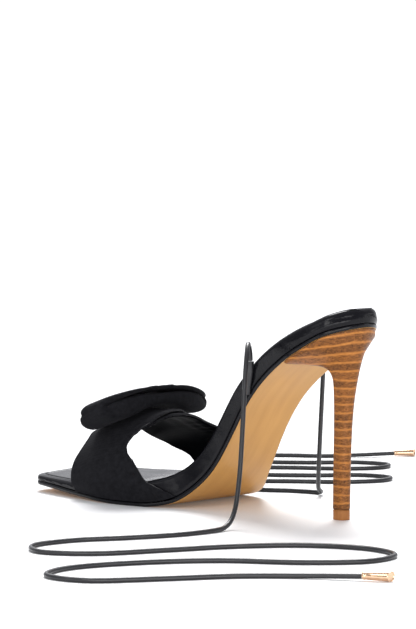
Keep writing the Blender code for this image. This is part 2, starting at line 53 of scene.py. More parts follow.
# Distance from the back, height of the underside, thickness with the footbed, half widths
SOLE_COLUMNS = ("along", "under", "thick", "medial", "lateral")
SOLE = np.array((
    (0.0, 96.4, 10.6, 23.5, 23.5),
    (12.0, 92.0, 11.1, 23.5, 23.5),
    (20.0, 87.6, 11.4, 23.5, 23.8),
    (30.0, 81.9, 11.6, 23.5, 24.5),
    (40.0, 75.4, 11.4, 22.8, 24.5),
    (51.0, 66.8, 11.1, 21.5, 23.5),
    (60.0, 57.3, 11.4, 20.7, 21.8),
    (69.0, 43.3, 11.8, 20.5, 20.3),
    (74.0, 34.9, 11.8, 20.9, 20.8),
    (79.5, 26.1, 12.2, 21.5, 22.3),
    (85.5, 18.3, 12.6, 22.4, 25.0),
    (93.6, 10.7, 13.0, 24.2, 30.5),
    (99.0, 6.7, 13.5, 25.8, 34.5),
    (104.0, 3.8, 13.7, 27.4, 37.0),
    (109.5, 1.8, 13.6, 29.3, 38.3),
    (115.0, 0.7, 13.3, 31.3, 39.0),
    (121.0, 0.0, 12.6, 33.6, 39.3),
    (139.0, 0.0, 10.5, 36.6, 38.2),
    (151.0, 0.5, 8.8, 37.0, 36.3),
    (163.0, 1.3, 7.6, 35.6, 33.8),
    (176.0, 2.0, 6.6, 33.4, 30.8),
    (188.0, 2.8, 5.8, 31.0, 28.2),
    (201.0, 3.4, 5.2, 28.0, 25.5),
    (214.0, 4.0, 4.8, 25.0, 23.0),
))


def curve_through(places, values):
    """Function for the monotone cubic through a table's points."""
    order = np.argsort(places)
    x, y = np.array(places)[order], np.array(values)[order]
    step = np.diff(x)
    rise = np.diff(y) / step
    slope = np.concatenate([rise[:1], np.zeros(len(x) - 2), rise[-1:]])
    for i in range(1, len(x) - 1):
        if rise[i - 1] * rise[i] > 0.0:
            before = 2.0 * step[i] + step[i - 1]
            after = step[i] + 2.0 * step[i - 1]
            slope[i] = (before + after) / (before / rise[i - 1] + after / rise[i])

    def value(place):
        i = np.clip(np.searchsorted(x, place) - 1, 0, len(step) - 1)
        t = np.clip((place - x[i]) / step[i], 0.0, 1.0)
        return (
            y[i] * (1.0 + 2.0 * t) * (1.0 - t) ** 2
            + y[i + 1] * t * t * (3.0 - 2.0 * t)
            + step[i] * (slope[i] * t * (1.0 - t) ** 2 - slope[i + 1] * t * t * (1.0 - t))
        )

    return value


sole = {name: curve_through(SOLE[:, 0], SOLE[:, k]) for k, name in enumerate(SOLE_COLUMNS)}


def sole_slope(along):
    """Slope of the sole's underside."""
    low, high = np.maximum(along - SLOPE_REACH, 0.0), np.minimum(along + SLOPE_REACH, LENGTH)
    return (sole["under"](high) - sole["under"](low)) / (high - low)


def half_width(along, side):
    """Half the sole's width, with the heel and the toe corners rounded."""
    half = sole[side](along)
    from_round = np.clip((HEEL_ROUND - along) / HEEL_ROUND, 0.0, 1.0)
    from_corner = np.clip(along - LENGTH + TOE_CORNER, 0.0, TOE_CORNER)
    return half * np.sqrt(1.0 - from_round**2) - TOE_CORNER + np.sqrt(TOE_CORNER**2 - from_corner**2)


def soft_step(value):
    """Smooth rise from 0 to 1 while a value goes from 0 to 1."""
    value = np.clip(value, 0.0, 1.0)
    return value * value * (3.0 - 2.0 * value)


def sole_point(along, y, rise):
    """Point at a rise square to the sole's underside, and more upright round the heel's back."""
    slope = sole_slope(along)
    stretch = math.hypot(1.0, slope)
    lean = slope * soft_step(along / UPRIGHT_BACK)
    return along - lean * rise / stretch - LENGTH / 2, y, sole["under"](along) + rise / stretch


def lay_grid(name, rows, ring=True, loop=False, slots=None, crease=40.0):
    """Grid primitive laid through rows of points in millimetres.

    A ring joins the ends of each row, a loop joins the last row to the first, and slots gives
    each column's material. What stays open is filled."""
    rows = np.array(rows, float)
    if ring:
        rows = np.concatenate([rows, rows[:, :1]], axis=1)
    if loop:
        rows = np.concatenate([rows, rows[:1]], axis=0)
    high, wide = rows.shape[:2]
    bpy.ops.object.select_all(action="DESELECT")
    bpy.ops.mesh.primitive_grid_add(x_subdivisions=wide - 1, y_subdivisions=high - 1)
    piece = bpy.context.object
    piece.name = name
    piece.data.name = name
    piece.data.vertices.foreach_set("co", (rows * MM).ravel())
    if slots is not None:
        piece.data.polygons.foreach_set("material_index", np.tile(slots, high - 1).astype(np.int32))
    bpy.ops.object.mode_set(mode="EDIT")
    bpy.ops.mesh.select_all(action="SELECT")
    bpy.ops.mesh.remove_doubles(threshold=1e-6)
    bpy.ops.mesh.fill_holes(sides=0)
    bpy.ops.mesh.select_all(action="SELECT")
    bpy.ops.mesh.normals_make_consistent(inside=False)
    bpy.ops.object.mode_set(mode="OBJECT")
    bpy.ops.object.shade_smooth_by_angle(angle=math.radians(crease))
    return piece


def sole_stations():
    """Stations along the sole, closer together where its outline turns."""
    back = HEEL_ROUND * (1.0 - np.cos(np.radians(np.linspace(2.0, 90.0, BACK_STATIONS))))
    middle = np.linspace(HEEL_ROUND, LENGTH - TOE_CORNER, MIDDLE_STATIONS)[1:-1]
    corner = LENGTH - TOE_CORNER * (1.0 - np.sin(np.radians(np.linspace(0.0, 90.0, CORNER_STATIONS))))
    return np.concatenate([back, middle, corner])


def new_finish(name, colour, roughness, **sockets):
    """Material whose shader has plain values; sockets are named with _ for a space."""
    material = bpy.data.materials.new(name)
    material.use_nodes = True
    shader = material.node_tree.nodes["Principled BSDF"]
    shader.inputs["Base Color"].default_value = (*colour, 1.0)
    shader.inputs["Roughness"].default_value = roughness
    for socket, value in sockets.items():
        shader.inputs[socket.replace("_", " ")].default_value = value
    return material, material.node_tree, shader


def add_node(tree, kind, inputs=(), **settings):
    """Node with its settings; each input takes a value or another node's output."""
    node = tree.nodes.new(kind)
    for setting, value in settings.items():
        setattr(node, setting, value)
    for socket, value in dict(inputs).items():
        if isinstance(value, bpy.types.NodeSocket):
            tree.links.new(value, node.inputs[socket])
        else:
            node.inputs[socket].default_value = value
    return node


def own_place(tree):
    """Coordinates of the piece itself."""
    return add_node(tree, "ShaderNodeTexCoord").outputs["Object"]


def feed(shader, socket, value):
    """Joins a node's output to one of the shader's sockets."""
    shader.id_data.links.new(value, shader.inputs[socket])


def add_math(tree, operation, *values):
    """Math node on one, two or three values."""
    return add_node(tree, "ShaderNodeMath", enumerate(values), operation=operation).outputs[0]


def add_ramp(tree, value, stops):
    """Colour ramp through stops of (place, colour)."""
    node = add_node(tree, "ShaderNodeValToRGB", {"Fac": value})
    while len(node.color_ramp.elements) < len(stops):
        node.color_ramp.elements.new(0.5)
    for element, (place, colour) in zip(node.color_ramp.elements, stops):
        element.position = place
        element.color = (*colour, 1.0)
    return node.outputs["Color"]


def add_noise(tree, place, scale, detail=3.0, stretch=(1.0, 1.0, 1.0)):
    """Noise whose features are about 1/scale metres across, stretched along the axes."""
    mapped = add_node(tree, "ShaderNodeMapping", {"Vector": place, "Scale": stretch})
    noise = add_node(tree, "ShaderNodeTexNoise",
                     {"Vector": mapped.outputs["Vector"], "Scale": scale, "Detail": detail})
    return noise.outputs["Fac"]


def add_range(tree, value, low, high, to_low, to_high):
    """Value carried from one stretch to another, and held at its ends."""
    node = add_node(tree, "ShaderNodeMapRange", {"Value": value, "From Min": low, "From Max": high,
                                                 "To Min": to_low, "To Max": to_high})
    return node.outputs["Result"]


def add_bump(tree, shader, height, distance, strength=1.0):
    """Fine relief on the shader, its height in metres."""
    bump = add_node(tree, "ShaderNodeBump", {"Height": height, "Distance": distance, "Strength": strength})
    feed(shader, "Normal", bump.outputs["Normal"])


UNDER_STEPS = 24
EDGE_TURNS = np.radians(np.linspace(-90.0, 60.0, 9))


def outsole_row(along):
    """Ring round the outsole: underside from lateral to medial, rounded edge, top, rounded edge."""
    medial, lateral = half_width(along, "medial"), half_width(along, "lateral")
    curve = min(OUTSOLE_ROUND, 0.3 * min(medial, lateral))
    under = [sole_point(along, y, 0.0) for y in np.linspace(curve - lateral, medial - curve, UNDER_STEPS)]
    middle = OUTSOLE_THICK / 2
    edge = [(curve * (np.cos(t) - 1.0), middle + middle * np.sin(t)) for t in EDGE_TURNS[1:]]
    near = [sole_point(along, medial + inward, rise) for inward, rise in edge]
    far = [sole_point(along, -lateral - inward, rise) for inward, rise in edge[::-1]]
    return under + near + far


rows = [outsole_row(along) for along in sole_stations()]
column_slots = np.zeros(len(rows[0]), int)
column_slots[:UNDER_STEPS - 1] = 1
outsole = lay_grid("outsole_leather", rows, slots=column_slots)
for face in outsole.data.polygons:
    if len(face.vertices) > 4:
        face.material_index = 0

tan, tree, shader = new_finish("tan_sole_leather", (0.52, 0.28, 0.078), 0.42, Specular_IOR_Level=0.25,
                               Coat_Weight=0.05, Coat_Roughness=0.3)
place = own_place(tree)
streaks = add_noise(tree, place, 60.0, 4.0, (0.35, 2.6, 0.35))
cloud = add_noise(tree, place, 28.0, 2.0)
tone = add_range(tree, add_math(tree, "ADD", streaks, cloud), 0.7, 1.3, 0.0, 1.0)
feed(shader, "Base Color", add_ramp(tree, tone, (
    (0.0, (0.48, 0.242, 0.060)), (0.5, (0.53, 0.274, 0.072)), (1.0, (0.58, 0.306, 0.086)))))
feed(shader, "Roughness", add_range(tree, cloud, 0.3, 0.7, 0.36, 0.5))
add_bump(tree, shader, add_noise(tree, place, 900.0, 3.0), 0.00004, 0.6)

painted, tree, shader = new_finish("black_edge_paint", (0.006, 0.006, 0.008), 0.14, Specular_IOR_Level=0.22)
uneven = add_noise(tree, own_place(tree), 260.0, 2.0)
feed(shader, "Roughness", add_range(tree, uneven, 0.3, 0.7, 0.08, 0.2))
add_bump(tree, shader, uneven, 0.00012, 0.5)

outsole.data.materials.append(painted)
outsole.data.materials.append(tan)
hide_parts("outsole")
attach(outsole, "root")


# Footbed: a padded insole wrapped in glossy black leather. The leather is pulled over the
# edge and tucked under, so the wall is softly uneven; a pressed line follows the rim.
RIM_ROUND = 2.4
END_ROLL = 1.5 * RIM_ROUND
BACK_ROUND = 2.2
BACK_BULGE = 0.7
CROWN = 0.5
CROWN_REACH = 12.0
LATERAL_RISE = 1.5
RISE_FROM, RISE_RUN = 85.0, 25.0
RIM_LINE = 4.4
LINE_DEPTH = 0.6
LINE_HALF = 0.5
TUCK = 0.6
# Waves of the wall: depth, turn in radians to a millimetre, and how often the side's phase counts
RIPPLES = ((0.07, 0.55, 1.0), (0.05, 1.3, 2.0))
# Distances from the edge at which the top is modelled, close together about the pressed line
TOP_PLACES = np.array((2.8, 3.1, 3.4, 3.7, 4.0, 4.3, 4.6, 4.9, 5.2, 5.6, 6.2, 7.5, 9.5, 12.0, 15.0))


def new_group(name, inputs, outputs):
    """Empty shader group, with a vector, the named values that go in and those that come out."""
    group = bpy.data.node_groups.new(name, "ShaderNodeTree")
    group.interface.new_socket("Vector", in_out="INPUT", socket_type="NodeSocketVector")
    for in_out, names in (("INPUT", inputs), ("OUTPUT", outputs)):
        for socket in names:
            group.interface.new_socket(socket, in_out=in_out, socket_type="NodeSocketFloat")
    return group, group.nodes.new("NodeGroupInput").outputs, group.nodes.new("NodeGroupOutput").inputs


def leather_grain():
    """Group for pebbled leather: a height for bump, and slow patches for tone and gloss."""
    group, inside, outside = new_group("leather_grain", ("Scale",), ("Height", "Patches"))
    place = inside["Vector"]
    pebbles = add_node(group, "ShaderNodeTexVoronoi", {"Vector": place, "Scale": inside["Scale"]},
                       feature="DISTANCE_TO_EDGE")
    rounded = add_range(group, pebbles.outputs["Distance"], 0.0, 0.35, 0.0, 1.0)
    fine = add_node(group, "ShaderNodeTexNoise", {"Vector": place, "Scale": 1400.0, "Detail": 2.0})
    height = add_math(group, "MULTIPLY_ADD", fine.outputs["Fac"], 0.35, rounded)
    patches = add_node(group, "ShaderNodeTexNoise", {"Vector": place, "Scale": 45.0, "Detail": 4.0})
    group.links.new(height, outside["Height"])
    group.links.new(patches.outputs["Fac"], outside["Patches"])
    return group


grain_group = leather_grain()


def add_grain(tree, scale):
    """Places the leather grain on a piece's own coordinates."""
    grain = add_node(tree, "ShaderNodeGroup", node_tree=grain_group)
    feed(grain, "Vector", own_place(tree))
    grain.inputs["Scale"].default_value = scale
    return grain.outputs["Height"], grain.outputs["Patches"]


def rim_line(from_edge):
    """Depth of the pressed line at a distance from the footbed's edge."""
    return -LINE_DEPTH * np.exp(-((from_edge - RIM_LINE) / LINE_HALF) ** 2)


stations = sole_stations()
outline = np.concatenate([
    np.stack([stations, half_width(stations, "medial")], axis=-1),
    np.stack([stations, -half_width(stations, "lateral")], axis=-1)[::-1],
])


def edge_distance(along, y):
    """Distance from a point of the top to the nearest point of the sole's outline."""
    start, run = outline, np.roll(outline, -1, axis=0) - outline
    share = (((along, y) - start) * run).sum(axis=1) / np.maximum((run * run).sum(axis=1), 1e-9)
    nearest = start + run * np.clip(share, 0.0, 1.0)[:, None]
    return np.linalg.norm((along, y) - nearest, axis=1).min()


def rolled(inside, reach):
    """How far a rounded edge drops at a distance inside it."""
    return reach * (1.0 - math.sqrt(1.0 - np.clip(1.0 - inside / reach, 0.0, 1.0) ** 2))


def footbed_row(along):
    """Ring round the footbed: tucked under edge, wall, rolled rim, crowned top, and down again."""
    low = OUTSOLE_THICK + GAP
    full = sole["thick"](along) - low
    top = low + full - rolled(min(along, LENGTH - along), min(END_ROLL, 0.6 * full))
    halves = {"medial": half_width(along, "medial"), "lateral": half_width(along, "lateral")}
    narrow = min(halves.values())
    behind = 1.0 - soft_step(along / UPRIGHT_BACK)
    curve = min(RIM_ROUND + BACK_ROUND * behind, 0.45 * narrow, 0.6 * (top - low))
    tuck = min(TUCK, 0.3 * curve)
    lift = LATERAL_RISE * np.clip((along - RISE_FROM) / RISE_RUN, 0.0, 1.0)
    sides = {}
    for side, phase, crest in (("medial", 0.0, top), ("lateral", 2.1, top + lift)):
        half = halves[side]
        ripple = sum(depth * math.sin(along * turn + phase * often) for depth, turn, often in RIPPLES)
        wall = [(half - tuck, low), (half - 0.3 * tuck, low + 0.4 * tuck), (half, low + tuck)]
        for share in (0.2, 0.4, 0.6, 0.8, 1.0):
            rise = low + tuck + (crest - curve - low - tuck) * share
            wall.append((half + (ripple + BACK_BULGE * behind) * math.sin(math.pi * share), rise))
        for turn in np.radians(np.linspace(12.0, 90.0, 8)):
            wall.append((half - curve * (1.0 - math.cos(turn)), crest - curve + curve * math.sin(turn)))
        sides[side] = wall
    row = [sole_point(along, y, rise) for y, rise in sides["medial"]]
    middle = (halves["medial"] - halves["lateral"]) / 2
    reach = (halves["medial"] + halves["lateral"]) / 2
    offsets = TOP_PLACES + BACK_ROUND * behind
    offsets = offsets * min(1.0, reach / (offsets[-1] + 1.0))
    across = np.concatenate([reach - offsets, [0.0], offsets[::-1] - reach])
    for y in across:
        from_edge = edge_distance(along, middle + y)
        swell = CROWN * (1.0 - rolled(min(from_edge, CROWN_REACH), CROWN_REACH) / CROWN_REACH)
        banked = lift * (reach - y) / (2.0 * reach)
        pressed = rim_line(from_edge - BACK_ROUND * behind)
        row.append(sole_point(along, middle + y, top + banked + swell + pressed))
    row += [sole_point(along, -y, rise) for y, rise in sides["lateral"][::-1]]
    return row


footbed = lay_grid("footbed", [footbed_row(along) for along in stations], crease=60.0)
black_leather, tree, shader = new_finish(
    "black_footbed_leather", (0.006, 0.006, 0.008), 0.22, Specular_IOR_Level=0.18)
height, patches = add_grain(tree, 900.0)
feed(shader, "Base Color",
     add_ramp(tree, patches, ((0.3, (0.004, 0.004, 0.0055)), (0.7, (0.009, 0.009, 0.0115)))))
feed(shader, "Roughness", add_range(tree, patches, 0.3, 0.7, 0.1, 0.22))
wavy = add_noise(tree, own_place(tree), 150.0, 3.0)
facing = add_node(tree, "ShaderNodeNewGeometry").outputs["Normal"]
upward = add_node(tree, "ShaderNodeSeparateXYZ", {"Vector": facing}).outputs["Z"]
pulled = add_range(tree, upward, 0.3, 0.8, 14.0, 1.5)
add_bump(tree, shader, add_math(tree, "MULTIPLY_ADD", wavy, pulled, height), 0.00003, 0.6)
footbed.data.materials.append(black_leather)
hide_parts("insole")
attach(footbed, "root")


# Heel: a slim moulded heel covered with a stacked-leather look, brown layers with thin
# lighter lines between them. Its wing is screwed up under the heel seat.
TIP_ALONG = 16.0
HEEL_SIDES = 56
HEEL_ROWS = 90
HEEL_COLUMNS = ("x_back", "z_back", "x_mid", "x_front", "z_front", "half", "corner")
HEEL = np.array((
    (-15.2, 93.8, 9.0, 19.9, 77.2, 22.2, 0.30),
    (-14.2, 88.6, 6.0, 14.5, 76.8, 15.5, 0.35),
    (-12.7, 83.6, 1.5, 8.0, 76.0, 9.4, 0.45),
    (-11.0, 77.6, -2.0, 4.6, 73.6, 6.6, 0.55),
    (-9.4, 70.4, -2.8, 3.3, 68.4, 5.1, 0.65),
    (-7.2, 58.5, -2.0, 3.2, 57.5, 4.3, 0.70),
    (-5.8, 45.0, -1.2, 3.3, 43.5, 4.1, 0.75),
    (-5.1, 30.0, -0.7, 3.5, 29.5, 4.05, 0.75),
    (-4.7, 15.0, -0.4, 3.7, 15.0, 4.05, 0.75),
    (-4.5, 5.5, -0.3, 3.8, 5.5, 4.05, 0.75),
))
HEEL_SEAT = {"x_back": -15.4, "x_mid": 10.0, "x_front": 20.5, "half": 22.6, "corner": 0.28}
heel_places = np.arange(len(HEEL))
heel_curves = {name: curve_through(heel_places, HEEL[:, k]) for k, name in enumerate(HEEL_COLUMNS)}


def signed_power(value, power):
    """Power of a value's size, with the value's own sign."""
    return np.sign(value) * np.abs(value) ** power


def heel_row(row, seat=False):
    """Ring of a heel section, round at the back and squarer at the breast."""
    angle = np.linspace(0.0, 2.0 * np.pi, HEEL_SIDES, endpoint=False)
    c, s = np.cos(angle), np.sin(angle)
    power = np.where(c > 0.0, row["corner"], 1.0)
    reach = np.where(c > 0.0, row["x_front"] - row["x_mid"], row["x_mid"] - row["x_back"])
    x = row["x_mid"] + signed_power(c, power) * reach
    y = signed_power(s, power) * row["half"]
    if seat:
        z = sole["under"](x + TIP_ALONG) - GAP * np.hypot(1.0, sole_slope(x + TIP_ALONG))
    else:
        rise = row["z_front"] - row["z_back"]
        z = row["z_back"] + rise * (x - row["x_back"]) / (row["x_front"] - row["x_back"])
    return np.stack([x + TIP_ALONG - LENGTH / 2, y, z], axis=-1)


rows = [heel_row(HEEL_SEAT, seat=True)]
for step in np.linspace(0.0, len(HEEL) - 1.0, HEEL_ROWS):
    rows.append(heel_row({name: curve(step) for name, curve in heel_curves.items()}))
heel = lay_grid("heel_cover", rows, crease=50.0)

LAYER = 0.0041
LAYER_WAVER = 0.0007
LAYER_SHADE = 0.16
LINE_SHARE = 0.22
WING_LOW, WING_HIGH = 0.070, 0.096
WING_TILT = 0.26
stacked, tree, shader = new_finish("stacked_leather", (0.28, 0.11, 0.03), 0.42, Specular_IOR_Level=0.12,
                                   Coat_Weight=0.14, Coat_Roughness=0.2)
place = own_place(tree)
axes = add_node(tree, "ShaderNodeSeparateXYZ", {"Vector": place}).outputs
tilt = add_range(tree, axes["Z"], WING_LOW, WING_HIGH, 0.0, WING_TILT)
run = add_math(tree, "ADD", axes["X"], (LENGTH / 2 - TIP_ALONG) * MM)
lean = add_math(tree, "MULTIPLY_ADD", tilt, run, axes["Z"])
waver = add_range(tree, add_noise(tree, place, 130.0, 2.0), 0.0, 1.0, -LAYER_WAVER, LAYER_WAVER)
level = add_math(tree, "DIVIDE", add_math(tree, "ADD", lean, waver), LAYER)
layer = add_math(tree, "FLOOR", level)
share = add_math(tree, "FRACT", level)
own = add_node(tree, "ShaderNodeTexWhiteNoise", {"W": layer}, noise_dimensions="1D").outputs["Value"]
fibre = add_noise(tree, place, 700.0, 5.0, (0.8, 0.8, 2.4))
speck = add_noise(tree, place, 2200.0, 2.0, (0.7, 0.7, 1.6))
grainy = add_math(tree, "MULTIPLY_ADD", own, LAYER_SHADE, add_math(tree, "ADD", fibre, speck))
brown = add_ramp(tree, add_range(tree, grainy, 0.75, 1.4, 0.0, 1.0), (
    (0.0, (0.06, 0.022, 0.0066)), (0.45, (0.18, 0.066, 0.016)), (0.75, (0.28, 0.1, 0.023)),
    (1.0, (0.375, 0.138, 0.03))))
line = add_ramp(tree, share, (
    (0.0, (1.0, 1.0, 1.0)), (LINE_SHARE * 0.55, (0.9, 0.9, 0.9)), (LINE_SHARE * 1.2, (0.0, 0.0, 0.0)),
    (0.8, (0.0, 0.0, 0.0)), (0.97, (0.35, 0.35, 0.35)), (1.0, (1.0, 1.0, 1.0))))
light = add_ramp(tree, fibre, ((0.3, (0.39, 0.143, 0.029)), (0.7, (0.54, 0.213, 0.047))))
mixed = add_node(tree, "ShaderNodeMix", {0: line, 6: brown, 7: light}, data_type="RGBA").outputs[2]
feed(shader, "Base Color", mixed)
feed(shader, "Roughness", add_range(tree, grainy, 0.7, 1.4, 0.5, 0.34))
add_bump(tree, shader, grainy, 0.00005, 0.5)
heel.data.materials.append(stacked)
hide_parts("heel")
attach(heel, "root")


# Top piece: the small tan piece of hard rubber on the heel's end, pressed on with a pin,
# a little smaller than the heel above it and with its lower edge worn round.
TIP_HEIGHT = 5.2
TIP_INSET = 0.12
TIP_ROUND = 0.5
# Sections from above: how far each is drawn in past the inset, and its height
TIP_SECTIONS = ((0.35, TIP_HEIGHT), (0.0, TIP_HEIGHT - 0.3), (0.0, TIP_ROUND), (0.12, 0.45 * TIP_ROUND),
                (0.35, 0.12 * TIP_ROUND), (0.6, 0.0))
last_row = {name: curve(len(HEEL) - 1.0) for name, curve in heel_curves.items()}
heel_end = heel_row(last_row)
middle = heel_end.mean(axis=0)
reach = np.abs(heel_end[:, 1]).max()
rows = []
for drawn_in, z in TIP_SECTIONS:
    row = middle + (heel_end - middle) * (1.0 - (TIP_INSET + drawn_in) / reach)
    row[:, 2] = z
    rows.append(row)
top_piece = lay_grid("heel_tip", rows, crease=50.0)
rubber, tree, shader = new_finish("tan_rubber", (0.45, 0.19, 0.06), 0.5, Specular_IOR_Level=0.2)
place = own_place(tree)
cloud = add_noise(tree, place, 500.0, 3.0, (1.0, 1.0, 0.4))
feed(shader, "Base Color", add_ramp(tree, cloud, ((0.3, (0.31, 0.118, 0.033)), (0.7, (0.40, 0.165, 0.05)))))
feed(shader, "Roughness", add_range(tree, cloud, 0.3, 0.7, 0.42, 0.6))
add_bump(tree, shader, add_noise(tree, place, 1800.0), 0.00003, 0.5)
top_piece.data.materials.append(rubber)
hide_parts("heel_top_piece")
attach(top_piece, "root")


# Upper: two wide straps of matte black fabric over a thin padding, lined with glossy black
# leather. They come up from between footbed and outsole, and the medial one crosses on top.
STRAP_WALL = 2.0
STRAP_EDGE = 0.75 * STRAP_WALL
STRAP_CLEAR = 0.6
STRAP_POWER = 2.1
WALL_TURN = 20.0
TUCK_TURN, TUCK_IN, TUCK_THIN = 2.0, 1.15, 0.55
CROSS_STEP = 2.3
CROSS_TURN = 152.0
CROSS_FADE = 30.0
SEWN_TURN, SEWN_RUN, SEWN_DEPTH = 98.0, 20.0, 2.8
GATHER_RISE = 3.8
GATHER_ALONG = 154.0
GATHER_SPREAD = (14.0, 18.0)
SHOULDER_PUFF = 1.3
PUFF_TURN, PUFF_SPREAD = 62.0, 15.0
FOLD_RUN, FOLD_EDGE = 30.0, 3.0
# Beside a fold the cloth stands up: share of the fold's depth, and distance in half widths
FOLD_SIDE = (0.4, 2.2)
LINING_FOLLOWS = 0.6
PUCKER_REACH, PUCKER_SLANT = 0.22, 9.0
# Uneven places of the hemmed rear edge of the medial strap: turn, half width, depth
EDGE_NICKS = ((19.0, 1.6, -0.5), (26.0, 1.5, 0.4), (47.0, 1.5, -0.6), (53.0, 2.0, 0.4))
STRAP_ROWS = 160
STRAP_STEPS = 48
EDGE_COLUMNS = 4
INSIDE_HEIGHT = 10.0
# Turn round the last, 0 and 180 degrees at the footbed's top: front and rear edges
MEDIAL_STRAP = np.array((
    (-20.0, 170.5, 104.0),
    (-10.0, 171.0, 110.8),
    (0.0, 172.3, 118.0),
    (15.0, 173.2, 125.5),
    (24.0, 173.0, 131.0),
    (35.0, 172.0, 135.0),
    (43.0, 171.8, 134.4),
    (50.0, 172.0, 132.4),
    (60.0, 174.0, 129.5),
    (75.0, 175.5, 129.5),
    (90.0, 174.0, 131.5),
    (120.0, 168.0, 136.0),
))
LATERAL_STRAP = np.array((
    (200.0, 148.0, 104.0),
    (180.0, 150.5, 110.0),
    (165.0, 154.5, 117.0),
    (150.0, 164.5, 123.0),
    (135.0, 168.5, 127.0),
    (120.0, 169.5, 129.8),
    (90.0, 167.0, 129.0),
    (60.0, 164.0, 132.0),
))
RIDGE = np.array((
    (105.0, 50.0), (129.0, 47.8), (142.0, 45.0), (156.0, 41.8), (168.0, 37.8), (176.0, 35.0), (185.0, 32.0),
))
ridge_top = curve_through(RIDGE[:, 0], RIDGE[:, 1])
# Soft folds that run up a strap into the bow: share across from the front edge, half width, depth,
# and the turn from the strap's own side where it starts
MEDIAL_FOLDS = (
    (0.25, 0.06, 0.18, 58.0), (0.5, 0.06, 0.22, 50.0), (0.7, 0.05, 0.22, 40.0), (0.88, 0.04, 0.25, 26.0),
)
LATERAL_FOLDS = (
    (0.3, 0.06, 0.2, 50.0), (0.55, 0.06, 0.25, 40.0), (0.75, 0.05, 0.3, 30.0), (0.9, 0.04, 0.3, 22.0),
)
# Puckers of the lining along the lateral strap's gathered rear edge: turn, half width, depth
PUCKERS = (
    (158.0, 3.0, 0.3), (150.0, 2.6, 0.4), (143.0, 3.2, 0.35), (136.0, 2.5, 0.45), (129.0, 3.0, 0.4),
    (121.0, 2.8, 0.35),
)


def last_surface(along, turn):
    """Outer face of a strap on the last, at a turn round it from the medial to the lateral side."""
    medial_side = turn <= 90.0
    half = np.where(medial_side, sole["medial"](along), sole["lateral"](along)) + STRAP_CLEAR + STRAP_WALL
    sign = np.where(medial_side, 1.0, -1.0)
    stretch = np.hypot(1.0, sole_slope(along))
    base = sole["under"](along) + (OUTSOLE_THICK + GAP) * stretch
    floor = sole["under"](along) + sole["thick"](along) * stretch
    from_side = np.where(medial_side, turn, 180.0 - turn)
    angle = np.radians(np.clip(from_side, 0.0, 90.0))
    y = half * np.cos(angle) ** (2.0 / STRAP_POWER)
    z = floor + (ridge_top(along) - floor) * np.sin(angle) ** (2.0 / STRAP_POWER)
    spread = ((along - GATHER_ALONG) / GATHER_SPREAD[0]) ** 2 + (y / GATHER_SPREAD[1]) ** 2
    z += np.where(from_side > 0.0, GATHER_RISE * np.exp(-spread), 0.0)
    z += np.minimum(from_side, 0.0) / WALL_TURN * (floor - base)
    return np.stack([along - LENGTH / 2, sign * y, z], axis=-1), from_side


def make_strap(name, table, folds, under):
    """Strap as a ring of fabric outside and lining inside, with round edges and soft folds."""
    turn = np.linspace(table[0, 0], table[-1, 0], STRAP_ROWS)[:, None]
    across = (1.0 - np.cos(np.linspace(0.0, np.pi, STRAP_STEPS)))[None, :] / 2
    front = curve_through(table[:, 0], table[:, 1])(turn)
    rear = curve_through(table[:, 0], table[:, 2])(turn)
    if not under:
        for centre, width, depth in EDGE_NICKS:
            rear = rear + depth * np.exp(-((turn - centre) / width) ** 2)
    along = front + (rear - front) * across
    outer, from_side = last_surface(along, turn + 0.0 * along)
    tangents = np.gradient(outer, axis=0), np.gradient(outer, axis=1)
    normal = np.cross(*tangents)
    normal /= np.linalg.norm(normal, axis=-1, keepdims=True)
    inside = np.array((GATHER_ALONG - LENGTH / 2, 0.0, INSIDE_HEIGHT))
    if (normal * (outer - inside)).sum() < 0.0:
        normal = -normal
    sewn = soft_step((turn - SEWN_TURN) / SEWN_RUN) * (not under)
    outer = outer - normal * SEWN_DEPTH * sewn[..., None]
    if under:
        outer = outer - normal * CROSS_STEP * soft_step((CROSS_TURN - turn) / CROSS_FADE)[..., None]
    from_edge = np.minimum(across, 1.0 - across) * (front - rear)
    round_edge = np.sqrt(1.0 - np.clip(1.0 - from_edge / STRAP_EDGE, 0.0, 1.0) ** 2)
    tucked = soft_step((-from_side - TUCK_TURN) / (WALL_TURN - TUCK_TURN))
    thick = STRAP_WALL / 2 * round_edge * (1.0 - TUCK_THIN * np.maximum(tucked, sewn))
    middle = outer - normal * STRAP_WALL / 2
    middle[..., 1] -= np.sign(middle[..., 1]) * TUCK_IN * tucked
    trough = np.zeros_like(along)
    for centre, half, depth, start in folds:
        grown = soft_step((from_side - start) / FOLD_RUN)
        trough -= depth * grown * np.exp(-((across - centre) / half) ** 2)
        beside = across - centre - FOLD_SIDE[1] * half
        trough += FOLD_SIDE[0] * depth * grown * np.exp(-(beside / half) ** 2)
    trough *= np.clip(from_edge / FOLD_EDGE, 0.15, 1.0)
    pucker = np.zeros_like(along)
    if under:
        near_edge = np.exp(-((1.0 - across) / PUCKER_REACH) ** 2)
        for centre, half, depth in PUCKERS:
            slanted = turn - centre + PUCKER_SLANT * (1.0 - across)
            pucker += depth * near_edge * np.exp(-(slanted / half) ** 2)
    puff = SHOULDER_PUFF * np.exp(-((from_side - PUFF_TURN) / PUFF_SPREAD) ** 2) * (1.0 - across)
    if not under:
        middle = middle + normal * puff[..., None]
    face = middle + normal * (thick + trough)[..., None]
    lining = middle - normal * (thick - LINING_FOLLOWS * trough + pucker * round_edge)[..., None]
    rows = np.concatenate([face, lining[:, -2:0:-1]], axis=1)
    slots = np.zeros(rows.shape[1], int)
    edge = STRAP_STEPS + 1 - EDGE_COLUMNS
    slots[edge:] = 1
    slots[edge:edge + EDGE_COLUMNS] = 2
    slots[-1] = 1
    return lay_grid(name, rows, slots=slots, crease=70.0)


